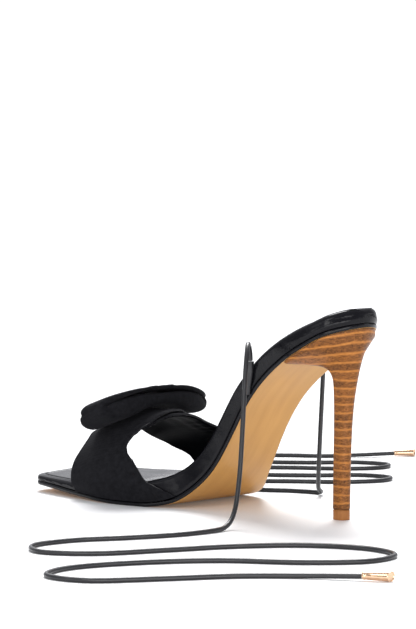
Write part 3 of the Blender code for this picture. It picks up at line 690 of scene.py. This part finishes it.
upper = make_strap("crossed_straps", MEDIAL_STRAP, MEDIAL_FOLDS, under=False)
under_strap = make_strap("under_strap", LATERAL_STRAP, LATERAL_FOLDS, under=True)


def cloth_weave():
    """Group for a close woven cloth: thread height, and an uneven tone."""
    group, inside, outside = new_group("cloth_weave", ("Threads",), ("Height", "Tone"))
    place = inside["Vector"]
    threads = []
    for direction in ("X", "Y", "Z"):
        wave = add_node(group, "ShaderNodeTexWave",
                        {"Vector": place, "Scale": inside["Threads"], "Distortion": 1.5, "Detail": 2.0,
                         "Detail Scale": 2.0}, bands_direction=direction)
        threads.append(wave.outputs["Fac"])
    crossed = add_math(group, "ADD", add_math(group, "MAXIMUM", *threads[:2]), threads[2])
    fuzz = add_node(group, "ShaderNodeTexNoise", {"Vector": place, "Scale": 2600.0, "Detail": 2.0})
    height = add_math(group, "MULTIPLY_ADD", fuzz.outputs["Fac"], 0.8, crossed)
    tone = add_node(group, "ShaderNodeTexNoise",
                    {"Vector": place, "Scale": 420.0, "Detail": 5.0, "Roughness": 0.65})
    group.links.new(height, outside["Height"])
    group.links.new(tone.outputs["Fac"], outside["Tone"])
    return group


weave_group = cloth_weave()
CLOTH_THREADS = 420.0


def new_cloth(name):
    """Matte black cloth: woven, a little uneven in tone, with a faint nap."""
    material, tree, shader = new_finish(
        name, (0.007, 0.007, 0.0085), 0.85, Sheen_Weight=0.02, Sheen_Roughness=0.5,
        Sheen_Tint=(0.75, 0.75, 0.85, 1.0), Specular_IOR_Level=0.08)
    weave = add_node(tree, "ShaderNodeGroup", node_tree=weave_group)
    feed(weave, "Vector", own_place(tree))
    weave.inputs["Threads"].default_value = CLOTH_THREADS
    tone = weave.outputs["Tone"]
    feed(shader, "Base Color",
         add_ramp(tree, tone, ((0.3, (0.0045, 0.0045, 0.0058)), (0.7, (0.0145, 0.0145, 0.0172)))))
    feed(shader, "Roughness", add_range(tree, tone, 0.3, 0.7, 0.75, 0.95))
    add_bump(tree, shader, weave.outputs["Height"], 0.00008, 0.7)
    return material


strap_cloth = new_cloth("black_strap_fabric")
lining_leather, tree, shader = new_finish(
    "black_lining_leather", (0.004, 0.0042, 0.0055), 0.4, Specular_IOR_Level=0.02)
height, patches = add_grain(tree, 700.0)
feed(shader, "Roughness", add_range(tree, patches, 0.3, 0.7, 0.32, 0.5))
feed(shader, "Base Color",
     add_ramp(tree, patches, ((0.3, (0.0025, 0.0028, 0.004)), (0.7, (0.005, 0.0055, 0.0075)))))
add_bump(tree, shader, height, 0.00006, 0.5)
turned_edge, tree, shader = new_finish(
    "black_turned_edge", (0.006, 0.006, 0.008), 0.2, Specular_IOR_Level=0.25)
uneven = add_noise(tree, own_place(tree), 320.0, 3.0)
feed(shader, "Roughness", add_range(tree, uneven, 0.35, 0.65, 0.14, 0.6))
add_bump(tree, shader, uneven, 0.0004, 0.7)
for strap in (upper, under_strap):
    for finish in (strap_cloth, lining_leather, turned_edge):
        strap.data.materials.append(finish)
bpy.ops.object.select_all(action="DESELECT")
upper.select_set(True)
under_strap.select_set(True)
bpy.context.view_layer.objects.active = upper
bpy.ops.object.join()
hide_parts("upper")
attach(upper, "root")


# Bow: a wide padded band of the same fabric, sewn into a ring and pressed flat, so that it has
# two loops with a slit between their layers. It is sewn down on the gathered straps.
BOW_HALF = 41.8
BOW_WIDTH = 17.0
BOW_UPPER = (2.2, 0.9)
BOW_LOWER = (9.6, 6.6)
BOW_SLIT = 0.7
BOW_DROOP = (7.6, 4.6)
DROOP_POWER = (1.5, 4.0)
BOW_TWIST = 0.75
BOW_TILT = 0.2
BOW_LIFT = 0.44
BOW_NOTCH = 0.25
BOW_GROOVE = 0.6
GROOVE_HALF = 0.55
END_LIFT = (1.5, 0.4)
LIFT_FROM, LIFT_RUN = 26.0, 13.0
BOW_SWELL = 2.2
BOW_OVAL = 2.0
BOW_END = 1.5
BOW_PINCH = 20.0
BOW_ROWS = 320
BOW_STEPS = 56
BOW_SPREAD = 0.75
BOW_FOLD = 0.45
BOW_TURN = 6
LOWER_TURN = 0.5
ANGLE_SPREAD = 0.45
BAND_CORNERS = (0.32, 0.6)
MEDIAL_SHORT = 1.6
FOLD_START, FOLD_GROW = 2.0, 8.0
KNOT_ROOM = 0.8
KNOT_INSET = 2.0
bow_centre = GATHER_ALONG - LENGTH / 2
# Fuller places under the lower layer: place across the foot, half width, depth
BOW_BULGES = ((25.0, 11.0, 2.0), (-26.0, 13.0, 3.0))
# Folds that run out of the knot along the bow: share of its half width, half width, depth, reach
BOW_FOLDS = (
    (-0.62, 0.10, 0.3, 20.0), (-0.2, 0.09, 0.4, 24.0), (0.22, 0.10, 0.35, 19.0), (0.6, 0.10, 0.35, 22.0),
)


def pinch(y):
    """How far the knot squeezes the bow, 1 in its middle."""
    return np.cos(np.minimum(np.abs(y) / BOW_PINCH, 1.0) * np.pi / 2) ** 2


def bow_layer(y, fold):
    """Thickness of the band, from -1 in the lower layer to 1 in the upper one."""
    share = (fold + 1.0) / 2
    loose = BOW_LOWER[0] + (BOW_UPPER[0] - BOW_LOWER[0]) * share
    squeezed = BOW_LOWER[1] + (BOW_UPPER[1] - BOW_LOWER[1]) * share
    return loose + (squeezed - loose) * pinch(y)


def bow_offset(y, fold):
    """Height of the band's middle over the slit."""
    return fold * ((bow_layer(y, fold) + BOW_SLIT) / 2 + KNOT_ROOM * pinch(y))


def bow_out(x, y):
    """How far out on the bow a point is, from -1 at its lateral end to 1 at its medial one."""
    return (y + BOW_TWIST * (x - bow_centre)) / BOW_HALF


def bow_swell(x, y):
    """How much thicker the upper layer gets towards its medial end."""
    return BOW_SWELL * np.clip(bow_out(x, y), 0.0, 1.0) ** DROOP_POWER[0]


def bow_slit(x, y):
    """Height of the slit between the layers."""
    seat = ridge_top(GATHER_ALONG) + GATHER_RISE + BOW_LIFT - bow_offset(0.0, -1.0) + bow_layer(0.0, -1.0) / 2
    out = bow_out(x, y)
    droop = np.where(out > 0.0, *BOW_DROOP) * np.abs(out) ** np.where(out > 0.0, *DROOP_POWER)
    return seat - droop - BOW_TILT * (x - bow_centre)


def bow_half(y, fold):
    """Half width of the band along the foot: an oval, drawn in by the knot in its upper layer."""
    oval = (1.0 - np.abs(y / BOW_HALF) ** BOW_OVAL) ** (1.0 / BOW_OVAL)
    return BOW_END + (BOW_WIDTH - BOW_END) * oval - KNOT_INSET * pinch(y) * np.maximum(fold, 0.0)


reach = BOW_HALF - (BOW_UPPER[0] + BOW_LOWER[0]) / 4
angle = np.linspace(0.0, 2.0 * np.pi, BOW_ROWS, endpoint=False)[:, None]
angle = angle - ANGLE_SPREAD * np.sin(2.0 * angle)
around = np.linspace(0.0, 2.0 * np.pi, BOW_STEPS, endpoint=False)[None, :]
wide = signed_power(np.cos(around), BAND_CORNERS[0])
deep = signed_power(np.sin(around), BAND_CORNERS[1])
y = signed_power(np.cos(angle), BOW_SPREAD) * np.where(np.cos(angle) > 0.0, reach - MEDIAL_SHORT, reach)
fold = signed_power(np.sin(angle), BOW_FOLD)
normal_y = signed_power(np.cos(angle), BOW_TURN) * (1.0 - LOWER_TURN * np.clip(-fold, 0.0, 1.0))
normal_z = np.sign(np.sin(angle)) * np.sqrt(1.0 - normal_y**2)
at_fold = np.exp(-(bow_offset(y, fold) / GROOVE_HALF) ** 2)
half = bow_half(y, fold) - BOW_GROOVE * at_fold
thick = bow_layer(y, fold) / 2 * (1.0 - BOW_NOTCH * at_fold) * np.ones_like(around)
for centre, width, depth, length in BOW_FOLDS:
    run_out = np.exp(-(np.abs(y) / length) ** 3) * soft_step((np.abs(y) - FOLD_START) / FOLD_GROW)
    thick = thick - depth * run_out * np.exp(-((wide - centre) / width) ** 2) * (deep > 0.0)
bulge = -np.where(y > 0.0, *END_LIFT) * soft_step((np.abs(y) - LIFT_FROM) / LIFT_RUN)
for centre, width, depth in BOW_BULGES:
    bulge = bulge + depth * np.exp(-((y - centre) / width) ** 2)
thick = thick + np.where(deep > 0.0, bulge * np.clip(-fold, 0.0, 1.0), 0.0)
x = bow_centre + wide * half
z = bow_slit(x, y) + bow_offset(y, fold) + deep * thick * normal_z
z = z + bow_swell(x, y) * np.clip(fold, 0.0, 1.0) * np.clip(deep, 0.0, 1.0)
bow = lay_grid("bow", np.stack([x, y + deep * thick * normal_y, z], axis=-1), loop=True, crease=80.0)
bow_cloth = new_cloth("black_bow_fabric")
bow.data.materials.append(bow_cloth)
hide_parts("bow_loop")
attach(bow, "root")


# Knot: a short band of the bow's fabric, laid in lengthwise pleats round the loop's upper layer
# and through the slit, and sewn together inside it.
KNOT_HALF = 8.5
KNOT_WALL = 0.7
KNOT_CLEAR = -0.05
KNOT_SQUARE = (0.15, 0.5)
KNOT_CORNERS = (0.4, 0.5)
KNOT_ROWS = 96
KNOT_STEPS = 40
KNOT_PLEATS = 3.0
PLEAT_DEPTH = 0.22
angle = np.linspace(0.0, 2.0 * np.pi, KNOT_ROWS, endpoint=False)[:, None]
around = np.linspace(0.0, 2.0 * np.pi, KNOT_STEPS, endpoint=False)[None, :]
y = signed_power(np.cos(around), KNOT_CORNERS[0]) * KNOT_HALF
wall = (signed_power(np.sin(around), KNOT_CORNERS[1]) + 1.0) / 2 * KNOT_WALL
pleats = PLEAT_DEPTH * (np.cos(KNOT_PLEATS * np.pi * y / KNOT_HALF) - 1.0)
wall = wall + np.where(np.sin(around) > 0.0, pleats, 0.0)
across = signed_power(np.cos(angle), KNOT_SQUARE[0])
up = signed_power(np.sin(angle), KNOT_SQUARE[1])
x = bow_centre + across * (bow_half(y, 1.0) + KNOT_CLEAR + wall)
z = bow_slit(x, y) + bow_offset(y, 1.0) + up * (bow_layer(y, 1.0) / 2 + KNOT_CLEAR + wall)
z = z + bow_swell(x, y) * np.clip(up, 0.0, 1.0)
knot = lay_grid("bow_band", np.stack([x, y + 0.0 * x, z], axis=-1), loop=True, crease=80.0)
knot.data.materials.append(bow_cloth)
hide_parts("bow_knot")
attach(knot, "root")


# Tie tabs: strips of black leather that come up from between footbed and outsole on each side
# of the waist and hold the ends of the ties, which are sewn in at their heads.
TAB_FOOT = (60.0, 61.0)
TAB_HEAD = (55.8, 78.0)
TAB_UPRIGHT = 72.0
TAB_WIDTH = 3.8
TAB_THICK = 1.4
TAB_CLEAR = 0.4
TAB_CORNERS = (0.35, 0.5)
# The head is narrower and fuller: by how much, and shares of the height where it starts and that it takes
TAB_TAPER = (0.28, 0.72, 0.28)
TAB_SWELL = (0.7, 0.62, 0.3)
TAB_ROWS = 28
TAB_STEPS = 28
HALVINGS = 24
tie_leather, tree, shader = new_finish(
    "black_tie_leather", (0.012, 0.012, 0.014), 0.35, Coat_Weight=0.2, Coat_Roughness=0.2)
height, patches = add_grain(tree, 1500.0)
feed(shader, "Base Color",
     add_ramp(tree, patches, ((0.3, (0.009, 0.009, 0.011)), (0.7, (0.020, 0.020, 0.023)))))
feed(shader, "Roughness", add_range(tree, patches, 0.3, 0.7, 0.28, 0.46))
add_bump(tree, shader, height, 0.00006, 0.5)


def side_station(along, height):
    """Station of the sole whose side passes through a point beside it, found by halving."""
    low, high = 0.0, along
    for _ in range(HALVINGS):
        middle = (low + high) / 2
        if middle - sole_slope(middle) * (height - sole["under"](middle)) < along:
            low = middle
        else:
            high = middle
    return low


for side, sign in (("medial", 1.0), ("lateral", -1.0)):
    rows = []
    around = np.linspace(0.0, 2.0 * np.pi, TAB_STEPS, endpoint=False)
    for share in np.linspace(0.0, 1.0, TAB_ROWS):
        along = TAB_FOOT[0] + (TAB_HEAD[0] - TAB_FOOT[0]) * share
        level = TAB_FOOT[1] + (TAB_HEAD[1] - TAB_FOOT[1]) * share
        inner = half_width(side_station(along, min(level, TAB_UPRIGHT)), side) + TAB_CLEAR
        narrow = 1.0 - TAB_TAPER[0] * soft_step((share - TAB_TAPER[1]) / TAB_TAPER[2])
        swell = 1.0 + TAB_SWELL[0] * soft_step((share - TAB_SWELL[1]) / TAB_SWELL[2])
        x = along - LENGTH / 2 + signed_power(np.cos(around), TAB_CORNERS[0]) * TAB_WIDTH / 2 * narrow
        out = signed_power(np.sin(around), TAB_CORNERS[1])
        y = inner + TAB_THICK / 2 * swell + out * TAB_THICK / 2 * swell
        rows.append(np.stack([x, sign * y, level + 0.0 * x], axis=-1))
    tab = lay_grid("tab_" + side, rows, crease=50.0)
    tab.data.materials.append(tie_leather)
    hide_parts("tie_tab_" + side)
    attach(tab, "root")


# Ties: two round black leather cords that go up the leg in wear. Here they are let down from
# their tabs and lie in loose curves on the floor. Each ends in a rose-gold cap, flared and
# cut on the slant, crimped on its end.
CORD_RADIUS = 1.2
TIE_ROWS = 420
TIE_STEPS = 14
ROUTE_STEPS = 24
CAP_LENGTH = 12.5
CAP_SLANT = 0.55
CAP_LIFT = 0.05
CAP_STEPS = 40
# Cap by sections: share of its length, and radius; the last ones turn in over the cut end
CAP = (
    (0.0, 1.45), (0.0, 1.62), (0.02, 1.75), (0.1, 1.78), (0.12, 1.68), (0.16, 1.68), (0.18, 1.78),
    (0.4, 1.88), (0.7, 2.05), (0.96, 2.22), (0.985, 2.25), (1.0, 2.2), (1.0, 1.95), (0.97, 1.85), (0.96, 1.0),
)
ROUTES = {
    "medial": (
        (-51.6, 24.0, 78.5), (-52.2, 24.8, 82.0), (-54.0, 27.6, 86.0), (-57.0, 31.6, 87.3),
        (-60.6, 36.2, 84.2), (-64.0, 41.0, 75.0), (-67.0, 45.4, 60.0), (-69.6, 49.6, 42.0),
        (-72.0, 54.0, 24.0), (-74.6, 60.0, 9.0), (-77.4, 69.0, 2.2), (-78.6, 82.0, 1.2),
        (-75.0, 102.0, 1.2), (-65.4, 124.4, 1.2), (-53.0, 148.0, 1.2), (-52.0, 172.0, 1.2),
        (-69.2, 184.0, 1.2), (-91.5, 170.0, 1.2), (-106.4, 141.7, 1.2), (-121.0, 111.3, 1.2),
        (-142.4, 86.1, 1.2), (-170.1, 74.0, 1.2), (-193.0, 81.0, 1.2), (-196.0, 104.0, 1.2),
        (-176.5, 127.0, 1.2), (-147.5, 146.7, 1.2), (-126.3, 174.2, 1.2), (-114.0, 206.7, 1.2),
        (-122.0, 230.0, 1.2), (-145.4, 228.0, 1.2), (-165.2, 202.0, 1.2), (-182.4, 176.0, 1.2),
        (-204.0, 156.0, 1.3), (-226.0, 143.0, 2.0),
    ),
    "lateral": (
        (-51.6, -26.2, 78.5), (-51.6, -26.9, 82.0), (-50.8, -29.4, 85.8), (-48.6, -33.6, 87.0),
        (-45.4, -38.4, 83.6), (-41.8, -42.6, 74.0), (-38.0, -46.0, 58.0), (-34.0, -49.2, 38.0),
        (-29.6, -53.0, 18.0), (-24.0, -59.0, 5.4), (-18.6, -66.4, 1.5), (-4.0, -64.0, 1.2),
        (16.0, -54.0, 1.2), (35.0, -50.0, 1.2), (48.0, -57.0, 1.2), (47.0, -75.0, 1.2),
        (29.0, -93.0, 1.2), (6.0, -110.0, 1.2), (-7.0, -131.0, 1.2), (-1.0, -145.0, 1.2),
        (18.0, -143.0, 1.2), (37.0, -123.0, 1.2), (58.0, -107.0, 1.2), (81.0, -98.0, 1.2),
        (94.0, -108.0, 1.2), (89.0, -126.0, 1.2), (69.0, -144.0, 1.2), (45.0, -160.0, 1.2),
        (33.0, -179.0, 1.2), (41.0, -193.0, 1.2), (61.0, -189.0, 1.2), (79.0, -170.0, 1.2),
        (99.0, -155.0, 1.2), (119.0, -146.0, 1.2), (135.0, -151.0, 1.2), (133.0, -170.0, 1.2),
        (114.0, -189.0, 1.2), (92.0, -204.0, 1.3), (70.0, -234.0, 2.0),
    ),
}
gold, tree, shader = new_finish("rose_gold_plate", (0.83, 0.56, 0.37), 0.2, Metallic=1.0)
rubbed = add_noise(tree, own_place(tree), 700.0, 4.0, (1.0, 1.0, 0.5))
feed(shader, "Roughness", add_range(tree, rubbed, 0.3, 0.7, 0.14, 0.3))
feed(shader, "Base Color", add_ramp(tree, rubbed, ((0.3, (0.80, 0.52, 0.33)), (0.7, (0.87, 0.61, 0.42)))))
add_bump(tree, shader, rubbed, 0.00003, 0.4)


def even_route(points, count):
    """Evenly spaced points on the smooth curve through a route's own points."""
    points = np.array(points)
    ends = np.concatenate([2 * points[:1] - points[1:2], points, 2 * points[-1:] - points[-2:-1]])
    fine = []
    for a, b, c, d in zip(ends, ends[1:], ends[2:], ends[3:]):
        for t in np.arange(ROUTE_STEPS) / ROUTE_STEPS:
            square = (2 * a - 5 * b + 4 * c - d) * t**2
            cube = (3 * b - a - 3 * c + d) * t**3
            fine.append(0.5 * (2 * b + (c - a) * t + square + cube))
    fine = np.array(fine + [points[-1]])
    fine[:, 2] = np.maximum(fine[:, 2], CORD_RADIUS)
    run = np.concatenate([[0.0], np.cumsum(np.linalg.norm(np.diff(fine, axis=0), axis=1))])
    places = np.linspace(0.0, run[-1], count)
    return np.stack([np.interp(places, run, fine[:, k]) for k in range(3)], axis=-1), run[-1]


for side, route in ROUTES.items():
    line, length = even_route(route, TIE_ROWS)
    heading = np.gradient(line, axis=0)
    heading /= np.linalg.norm(heading, axis=1, keepdims=True)
    sideways = np.cross(heading[0], (0.0, 0.0, 1.0))
    turns = np.linspace(0.0, 2.0 * np.pi, TIE_STEPS, endpoint=False)
    rows = []
    for point, ahead in zip(line, heading):
        sideways = sideways - ahead * np.dot(sideways, ahead)
        sideways /= np.linalg.norm(sideways)
        upward = np.cross(ahead, sideways)
        rows.append([point + CORD_RADIUS * (np.cos(t) * sideways + np.sin(t) * upward) for t in turns])
    tie = lay_grid("tie_" + side, rows, crease=60.0)
    tie.data.materials.append(tie_leather)
    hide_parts("tie_cord_" + side)
    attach(tie, "root")

    ahead = np.array((heading[-1, 0], heading[-1, 1], 0.0))
    ahead /= np.linalg.norm(ahead)
    beside = np.array((-ahead[1], ahead[0], 0.0))
    start = np.array((line[-1, 0], line[-1, 1], max(radius for _, radius in CAP) + CAP_LIFT)) + ahead * GAP
    turns = np.linspace(0.0, 2.0 * np.pi, CAP_STEPS, endpoint=False)
    rows = []
    for share, radius in CAP:
        offset = radius * np.cos(turns)[:, None]
        forward = CAP_LENGTH * share + CAP_SLANT * offset * share
        rise = radius * np.sin(turns)[:, None] * np.array((0.0, 0.0, 1.0))
        rows.append(start + forward * ahead + offset * beside + rise)
    cap = lay_grid("cap_" + side, rows, crease=35.0)
    cap.data.materials.append(gold)
    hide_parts("tie_cap_" + side)
    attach(cap, "root")


# Stage: a wide white floor in white surroundings, which glow more from above and behind the shoe.
# Soft lamps light its near side, and a broad sun stands behind it.
# Glows: direction, nearness to it from and to, and strength from and to
FILL = ((0.25, -0.26, 0.933), -0.25, 0.9, 0.08, 0.74)
BACKDROP = ((0.688, -0.725, 0.04), 0.85, 0.99, 0.0, 0.3)
SEEN_STRENGTH = 1.1
FLOOR_SIZE = 12.0
SUN_POWER, SUN_SPREAD = 3.3, 32.0
SUN_HEADING = (-0.55, 0.6, -1.0)
bpy.ops.object.select_all(action="DESELECT")
bpy.ops.mesh.primitive_plane_add(size=FLOOR_SIZE, location=(0.0, 0.0, 0.0))
floor = bpy.context.object
floor.name = "floor"
white = new_finish("white_floor", (0.9, 0.9, 0.9), 0.6, Emission_Color=(1.0, 1.0, 1.0, 1.0),
                   Emission_Strength=0.03)[0]
floor.data.materials.append(white)

world = bpy.data.worlds.new("studio")
bpy.context.scene.world = world
world.use_nodes = True
tree = world.node_tree
sky = tree.nodes["Background"]
sky.inputs["Color"].default_value = (0.94, 0.95, 1.0, 1.0)
toward = add_node(tree, "ShaderNodeTexCoord").outputs["Generated"]
glows = []
for direction, *stretch in (FILL, BACKDROP):
    near = add_node(tree, "ShaderNodeVectorMath", {0: toward, 1: direction}, operation="DOT_PRODUCT")
    glows.append(add_range(tree, near.outputs["Value"], *stretch))
bright = add_math(tree, "ADD", *glows)
seen = add_node(tree, "ShaderNodeLightPath").outputs["Is Camera Ray"]
feed(sky, "Strength", add_node(tree, "ShaderNodeMix", {0: seen, 2: bright, 3: SEEN_STRENGTH}).outputs[0])
bpy.context.scene.view_settings.view_transform = "Standard"


def hold(thing, place, heading):
    """Object that holds a lamp or a camera at a place and points it along a heading."""
    holder = bpy.data.objects.new(thing.name, thing)
    bpy.context.scene.collection.objects.link(holder)
    holder.location = place
    holder.rotation_euler = Vector(heading).to_track_quat("-Z", "Y").to_euler()
    return holder


def add_lamp(name, place, target, wide, high, power):
    """Soft lamp turned to a target."""
    lamp = bpy.data.lights.new(name, "AREA")
    lamp.shape = "RECTANGLE"
    lamp.size = wide
    lamp.size_y = high
    lamp.energy = power
    hold(lamp, place, Vector(target) - Vector(place))


add_lamp("low", (-0.95, 0.62, 0.17), (-0.02, 0.0, 0.03), 1.2, 0.3, 6.0)
add_lamp("before", (0.2, 1.4, 0.5), (-0.05, 0.0, 0.05), 0.5, 0.5, 1.6)
add_lamp("front", (-0.45, 1.15, 0.85), (0.0, 0.0, 0.05), 0.4, 0.4, 2.8)
back = bpy.data.lights.new("behind", "SUN")
back.energy = SUN_POWER
back.angle = math.radians(SUN_SPREAD)
hold(back, (0.0, 0.0, 0.0), SUN_HEADING)

# Camera: behind the shoe's medial side, a little above the floor, as in the photograph.
CAMERA_PLACE = (-1.006654, 1.061114, 0.188)
CAMERA_YAW = math.radians(43.5)
CAMERA_PITCH = math.radians(3.5132686)
FOCAL_PIXELS = 2835.62
FRAME_HEIGHT = 629
camera = bpy.data.cameras.new("photo_view")
camera.sensor_width = 36.0
camera.lens = FOCAL_PIXELS * camera.sensor_width / FRAME_HEIGHT
camera.clip_start = 0.05
level = math.cos(CAMERA_PITCH)
ahead = (math.sin(CAMERA_YAW) * level, -math.cos(CAMERA_YAW) * level, -math.sin(CAMERA_PITCH))
bpy.context.scene.camera = hold(camera, CAMERA_PLACE, ahead)
